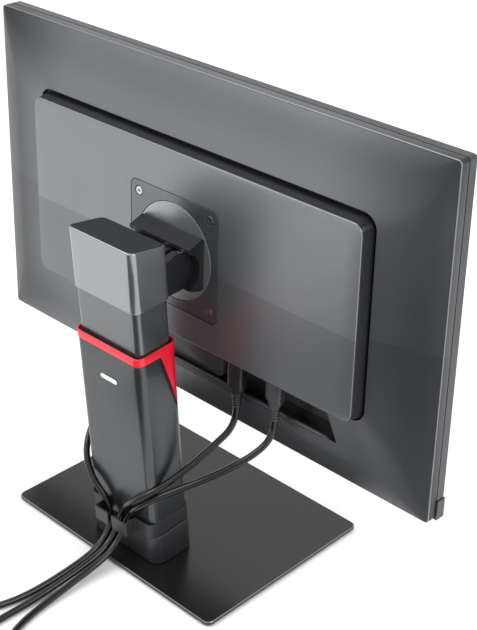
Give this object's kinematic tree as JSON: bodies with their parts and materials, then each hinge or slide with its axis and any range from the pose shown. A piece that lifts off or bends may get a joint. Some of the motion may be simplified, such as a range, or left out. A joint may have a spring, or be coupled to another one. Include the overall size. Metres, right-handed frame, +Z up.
{
  "type": "computer monitor",
  "caption": "Wide flat-panel monitor on a height-adjustable stand that swivels, tilts and pivots, with a rectangular base plate, a cable clip and plugged-in cords.",
  "frame": {"origin": "on the desk, in the middle of the box round the display and its stand", "axes": "+Z up, the screen faces -Y, +X is to the right for a user in front of the screen"},
  "size_m": [0.6154, 0.58, 0.5098],
  "materials": {
    "cover_plastic": "fine-textured charcoal",
    "bezel_plastic": "satin black",
    "stand_plastic": "satin charcoal",
    "cap_plastic": "satin dark grey",
    "red_plastic": "semi-gloss red",
    "badge_white": "satin white",
    "base_paint": "semi-gloss black powder coat",
    "head_paint": "satin black",
    "steel": "zinc-plated",
    "rubber": "matt",
    "cord_pvc": "glossy black",
    "plug_pvc": "satin black",
    "screen_glass": "anti-glare",
    "optic_sheet": "white diffusing",
    "board": "green solder mask",
    "aluminium": "plain"
  },
  "bodies": {
    "base": {"base_plate": "base_paint", "rubber_feet": "rubber", "swivel_washer": "plug_pvc", "video_cord_a": "cord_pvc", "video_cord_b": "cord_pvc", "power_cord": "cord_pvc", "video_coil_a": "cord_pvc", "video_coil_b": "cord_pvc", "power_coil": "cord_pvc", "video_end_a": "plug_pvc", "video_end_b": "plug_pvc", "mains_plug": "plug_pvc"},
    "column": {"lower_column": "stand_plastic", "red_trim": "red_plastic", "badge": "badge_white", "foot_collar": "stand_plastic", "cable_clip": "stand_plastic", "swivel_spindle": "steel", "lift_rail": "steel", "spring_strip": "steel"},
    "carriage": {"neck_arm": "stand_plastic", "tilt_shaft": "steel", "head_cap": "cap_plastic", "inner_column": "stand_plastic", "guide_strips": "plug_pvc", "slide_block": "plug_pvc", "spring_roll": "steel", "roll_pin": "steel"},
    "head": {"pivot_disc": "head_paint", "pivot_nut": "steel", "tilt_block": "stand_plastic", "tilt_lugs": "steel"},
    "display": {"rear_cover": "cover_plastic", "vent_mesh": "steel", "front_bezel": "bezel_plastic", "chin_trim": "bezel_plastic", "lcd_glass": "screen_glass", "diffuser_sheets": "optic_sheet", "light_guide": "optic_sheet", "reflector_sheet": "optic_sheet", "led_strip": "aluminium", "panel_tray": "steel", "mount_bracket": "steel", "vesa_plate": "head_paint", "vesa_screws": "steel", "main_board": "board", "board_shield": "steel", "power_board": "board", "data_sockets": "steel", "power_inlet": "plug_pvc", "speakers": "plug_pvc", "key_board": "board", "video_plug_a": "plug_pvc", "video_plug_b": "plug_pvc", "power_plug": "plug_pvc"},
    "menu_key_1_body": {"menu_key_1": "bezel_plastic"},
    "menu_key_2_body": {"menu_key_2": "bezel_plastic"},
    "menu_key_3_body": {"menu_key_3": "bezel_plastic"},
    "menu_key_4_body": {"menu_key_4": "bezel_plastic"},
    "power_key_body": {"power_key": "bezel_plastic"}
  },
  "joints": [
    {"name": "stand_swivel", "type": "hinge", "parent": "base", "child": "column", "pos_m": [0, 0.064, 0.006], "axis": [0, 0, 1], "range_deg": [-45, 45]},
    {"name": "height_slide", "type": "slide", "parent": "column", "child": "carriage", "axis": [0, 0.0837, 0.9965], "range_m": [-0.04, 0.06], "deforming": ["video_cord_a", "video_cord_b", "power_cord"]},
    {"name": "head_tilt", "type": "hinge", "parent": "carriage", "child": "head", "pos_m": [0, 0.046, 0.327], "axis": [-1, 0, 0], "range_deg": [-5, 25]},
    {"name": "display_pivot", "type": "hinge", "parent": "head", "child": "display", "pos_m": [0, 0.019, 0.33], "axis": [0, -1, 0], "range_deg": [0, 30]},
    {"name": "menu_key_1_press", "type": "slide", "parent": "display", "child": "menu_key_1_body", "axis": [0, 1, 0], "range_m": [0, 0.0008], "stiffness_N_per_m": 900, "springref_m": -0.0005},
    {"name": "menu_key_2_press", "type": "slide", "parent": "display", "child": "menu_key_2_body", "axis": [0, 1, 0], "range_m": [0, 0.0008], "stiffness_N_per_m": 900, "springref_m": -0.0005},
    {"name": "menu_key_3_press", "type": "slide", "parent": "display", "child": "menu_key_3_body", "axis": [0, 1, 0], "range_m": [0, 0.0008], "stiffness_N_per_m": 900, "springref_m": -0.0005},
    {"name": "menu_key_4_press", "type": "slide", "parent": "display", "child": "menu_key_4_body", "axis": [0, 1, 0], "range_m": [0, 0.0008], "stiffness_N_per_m": 900, "springref_m": -0.0005},
    {"name": "power_key_press", "type": "slide", "parent": "display", "child": "power_key_body", "axis": [0, 1, 0], "range_m": [0, 0.0008], "stiffness_N_per_m": 900, "springref_m": -0.0005}
  ]
}
